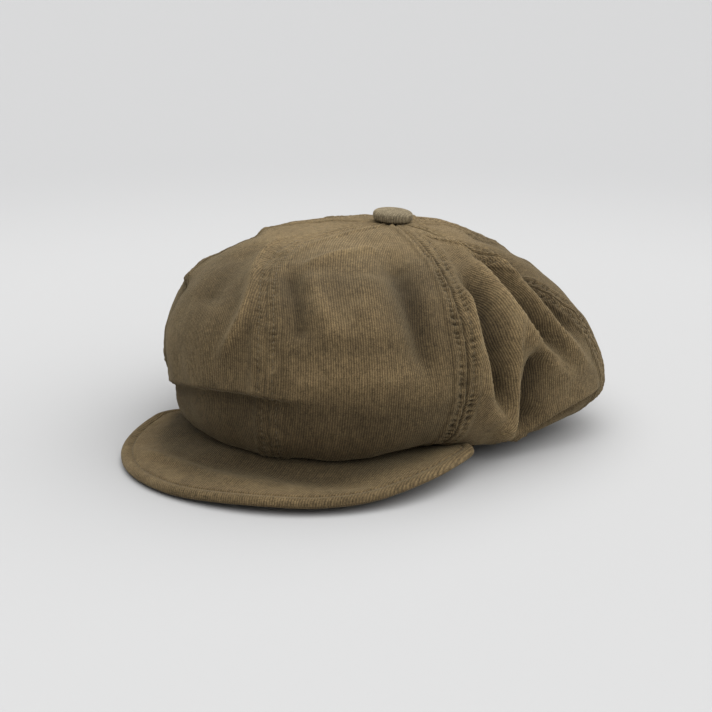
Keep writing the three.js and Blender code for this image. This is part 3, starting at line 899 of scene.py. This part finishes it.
def visor_dents(p, share):
    """Height of the visor's dents, by place and by share out from the band."""
    x, y = p[..., 0], p[..., 1]
    flat = np.stack([x, y, 0 * x], -1).reshape(-1, 3)
    total = sum(height * noise_at(flat, grain, seed) for height, grain, seed in VISOR_SLACK).reshape(x.shape)
    for height, at_x, at_y, half_x, half_y, lean in VISOR_DENTS:
        along, off = x - at_x, y - at_y + lean * (x - at_x)
        total += height * np.exp(-((along / half_x) ** 2 + (off / half_y) ** 2))
    return total * smooth(share / 0.15) * mix(1.0, 0.35, smooth((share - 0.75) / 0.25))


def visor_point(q, out, lift):
    """Point of the visor at q round it and a share out from the band; beyond 1 it goes straight out."""
    inner = oval(HORN_FACING * q, -VISOR["band_gap"])
    rim = visor_rim(q)
    ends = mix(0.4, 1.0, smooth((1 - np.abs(q)) / 0.07))
    lift = lift * ends
    inside = np.clip(out, 0, 1)
    p = mix(inner, rim, inside[..., None])
    z = mix(VISOR["inner"], rim_height(q), inside) + lift + visor_dents(p, inside)
    beyond = (np.maximum(out - 1, 0) * ends)[..., None]
    return np.concatenate([p + rim_outward(q) * beyond, z[..., None]], -1)


VISOR_COLUMNS = 241


def visor_rides(piece):
    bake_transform(piece)


def rolled(angles, radius):
    """(share out, height) round the rolled edge; 90 is its top and 0 its front."""
    a = np.radians(angles)
    return list(zip(1 + (ROLL_OUT + radius * np.cos(a)), radius * np.sin(a)))


def visor_painted_light_and_shade(shares):
    """Painted shade and light: the cloth is painted darker towards the crown, in its shadow, and lighter
    along the edge.
    """
    tone = 0.25 - 1.15 * (1 - smooth((np.array(shares) - 0.45) / 0.42))
    return np.broadcast_to(tone, (VISOR_COLUMNS, len(shares)))


def visor_grid(rows):
    """Points of the visor from horn to horn, with a row for each (share out, height)."""
    q = np.linspace(-1, 1, VISOR_COLUMNS)
    return np.stack([visor_point(q, np.full_like(q, s), np.full_like(q, h)) for s, h in rows], 1)


def visor_piece(name, node, outer, inner, uv, material, slot, relief=None):
    piece = sheet(name, outer, inner, uv, material, relief=relief)
    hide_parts(node)
    visor_rides(piece)


def visor_cloth(name, node, rows, uv_of, relief=None):
    outer = visor_grid(rows)
    inner = outer - surface_normals(outer) * COVER
    visor_piece(name, node, outer, inner, uv_of(outer), CORDUROY, "corduroy", relief)


def flat_uv(grid):
    return grid[..., :2] / WALE


def rim_uv(grid):
    """Ribs across the edge: U counts along the rim, V runs round the section."""
    along = np.concatenate([[0], np.cumsum(np.linalg.norm(np.diff(grid[:, -1], axis=0), axis=1))])
    round_it = np.concatenate(
        [np.zeros((len(grid), 1)), np.cumsum(np.linalg.norm(np.diff(grid, axis=1), axis=2), axis=1)], 1
    )
    return np.stack([np.broadcast_to(along[:, None], round_it.shape), round_it], -1) / WALE


def make_visor():
    top = [(s, COVER_TOP) for s in np.linspace(0, 0.965, 34)]
    top += [(0.978, COVER_TOP - 0.15), (0.988, COVER_TOP - 0.7), (0.996, COVER_TOP - 1.1)]  # stitched groove
    top += [(1.35, 1.9), (1.9, 2.5)] + rolled(np.linspace(112, -12, 15), 3.0)
    # the top cloth gets painted shade towards the crown and painted light along its edge
    visor_cloth("visor_top_cloth", "visor_top_cover", top, flat_uv, visor_painted_light_and_shade([s for s, _ in top]))
    piping = rolled([-8, -14, -22, -34, -48, -62, -74], 2.75)
    visor_cloth("visor_edge_piping", "visor_edge_roll", piping, rim_uv)
    under = rolled([-78, -92, -110], 2.8) + [(s, -COVER_TOP) for s in np.linspace(0.985, 0, 30)]
    visor_cloth("visor_under_cloth", "visor_under_cover", under, flat_uv)
    faces = [visor_grid([(s, h) for s in np.linspace(0.01, 1, 12)]) for h in (BOARD_HALF, -BOARD_HALF)]
    visor_piece("visor_board_sheet", "visor_board", *faces, flat_uv(faces[0]), BOARD, "visor_board")
    q = np.linspace(-0.97, 0.97, 600)
    line = visor_point(q, np.full_like(q, 0.996), np.full_like(q, COVER_TOP - 0.95))
    up = np.tile([0.0, 0.0, 1.0], (len(q), 1))
    visor_rides(stitch_piece("visor_topstitch", [(line, up)], 0.3, 2.6, 0.9))


# ---- Button ----

BUTTON_TILT = math.radians(4)
BUTTON_RADIUS, BUTTON_THICKNESS, BUTTON_STAND = 12.0, 6.0, 1.2
BUTTON_SIDE = 2.4  # height of its side below the dome
BUTTON_TURNS = 96


def button_profile():
    """(radius, height) down the button's dome, then in under its edge."""
    profile = []
    for a in np.radians(np.linspace(86, 0, 18)):
        rise = (BUTTON_THICKNESS - BUTTON_SIDE) * math.sin(a) ** 0.62
        profile.append((BUTTON_RADIUS * math.cos(a) ** 0.36, BUTTON_SIDE + rise))
    edge = [(0.995, 1.5), (0.975, 0.8), (0.93, 0.25), (0.85, 0.05)]
    return profile + [(BUTTON_RADIUS * share, z) for share, z in edge]


def make_button():
    angles = np.arange(BUTTON_TURNS) * 2 * math.pi / BUTTON_TURNS
    rings = []
    for r, z in button_profile():
        gather = 0.10 * np.sin(angles * 17 + 0.6 * np.sin(angles * 3)) * smooth(np.array((4.5 - z) / 3))
        rr = r + gather + 0.12 * np.sin(angles * 2 + 1)
        rings.append(np.stack([rr * np.cos(angles), rr * np.sin(angles), np.full(BUTTON_TURNS, z)], -1))
    ring = np.array(rings)
    inner = ring * [0.9, 0.9, 0.86] + [0, 0, 0.1]
    tops = [[[0, 0, BUTTON_THICKNESS]], [[0, 0, BUTTON_THICKNESS * 0.86 + 0.1]]]
    points = np.concatenate([tops[0], ring.reshape(-1, 3), tops[1], inner.reshape(-1, 3)])
    n, count = len(rings), BUTTON_TURNS
    faces = []
    for side, first in ((0, 0), (1, 1 + n * count)):
        for q in range(count):
            r = (q + 1) % count
            tri = (first, first + 1 + q, first + 1 + r)
            faces.append(tri if side == 0 else tri[::-1])
            for i in range(n - 1):
                a, b = first + 1 + i * count, first + 1 + (i + 1) * count
                quad = (a + q, b + q, b + r, a + r)
                faces.append(quad if side == 0 else quad[::-1])
    outer_last, inner_last = 1 + (n - 1) * count, 2 + n * count + (n - 1) * count
    for q in range(count):
        r = (q + 1) % count
        faces.append((outer_last + q, inner_last + q, inner_last + r, outer_last + r))
    c, s = math.cos(BUTTON_TILT), math.sin(BUTTON_TILT)
    uvs = points[:, :2] / WALE
    points = points @ np.array([[c, 0, s], [0, 1, 0], [-s, 0, c]]).T + APEX + [0, 0, BUTTON_STAND]
    piece = new_mesh("button_cloth", place(points), faces, uvs, LIT_BUTTON_CORDUROY)
    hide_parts("button_cover")
    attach(piece, "cap")


# ---- Carried-over parts ----

def finish_frame_parts():
    finishes = {
        "headband_stiffener": BUCKRAM, "size_label": SATIN, "button_shell": METAL,
        "button_back_plate": METAL, "button_tack": METAL, "button_washer": METAL,
    }
    for name, material in finishes.items():
        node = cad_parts[name]
        node.data.materials.clear()
        node.data.materials.append(material)


# ---- Studio ----

WORLD_LIGHT = 0.24
KEY_LIGHT = 4.95
KEY_SPREAD = 120.0  # degrees across, so its shadows are soft
KEY_FROM = (0.38, 0.16, 1.0)
FLOOR_FLAT, FLOOR_SIZE, FLOOR_RISE = 4.5, 10.0, 3.5  # metres: it turns up like a studio sweep, far off
FLOOR_SIDES = 72


def make_floor():
    radii = np.concatenate([[FLOOR_FLAT], np.linspace(FLOOR_FLAT, FLOOR_SIZE, 25)[1:]])
    heights = FLOOR_RISE * ((radii - FLOOR_FLAT) / (FLOOR_SIZE - FLOOR_FLAT)) ** 2
    turns = np.arange(FLOOR_SIDES) * 2 * math.pi / FLOOR_SIDES
    rings = [(r * math.cos(a), r * math.sin(a), z) for a in turns for r, z in zip(radii, heights)]
    rows = len(radii)
    faces = grid_faces(FLOOR_SIDES, rows, 1, True, True)
    for i in range(FLOOR_SIDES):
        faces.append((0, 1 + i * rows, 1 + (i + 1) % FLOOR_SIDES * rows))
    floor = new_mesh("floor", [(0.0, 0.0, 0.0)] + rings, faces, None, floor_material())


def make_studio():
    make_floor()
    world = bpy.data.worlds.new("studio")
    bpy.context.scene.world = world
    world.use_nodes = True
    background = world.node_tree.nodes["Background"]
    background.inputs["Color"].default_value = (0.97, 0.98, 1.0, 1)
    background.inputs["Strength"].default_value = WORLD_LIGHT
    light = bpy.data.lights.new("overhead_softbox", "SUN")
    light.energy = KEY_LIGHT
    light.angle = math.radians(KEY_SPREAD)
    lamp = bpy.data.objects.new("overhead_softbox", light)
    lamp.rotation_euler = Vector(KEY_FROM).to_track_quat("Z", "Y").to_euler()
    bpy.context.scene.collection.objects.link(lamp)


def make_camera():
    turn, rise = math.radians(VIEW_TURN), math.radians(VIEW_RISE)
    back = np.array([math.sin(turn) * math.cos(rise), -math.cos(turn) * math.cos(rise), math.sin(rise)])
    data = bpy.data.cameras.new("camera")
    data.lens = VIEW_LENS
    data.sensor_width = 36.0
    data.clip_end = 40.0
    camera = bpy.data.objects.new("camera", data)
    camera.location = place(VIEW_AT + back * VIEW_AWAY)
    camera.rotation_euler = Vector(-back).to_track_quat("-Z", "Y").to_euler()
    bpy.context.scene.collection.objects.link(camera)
    bpy.context.scene.camera = camera


make_camera()
make_studio()
make_crown()
make_crown_stitches()
make_lining()
make_band()
make_visor()
make_button()
finish_frame_parts()

bpy.context.scene.view_settings.view_transform = "Standard"
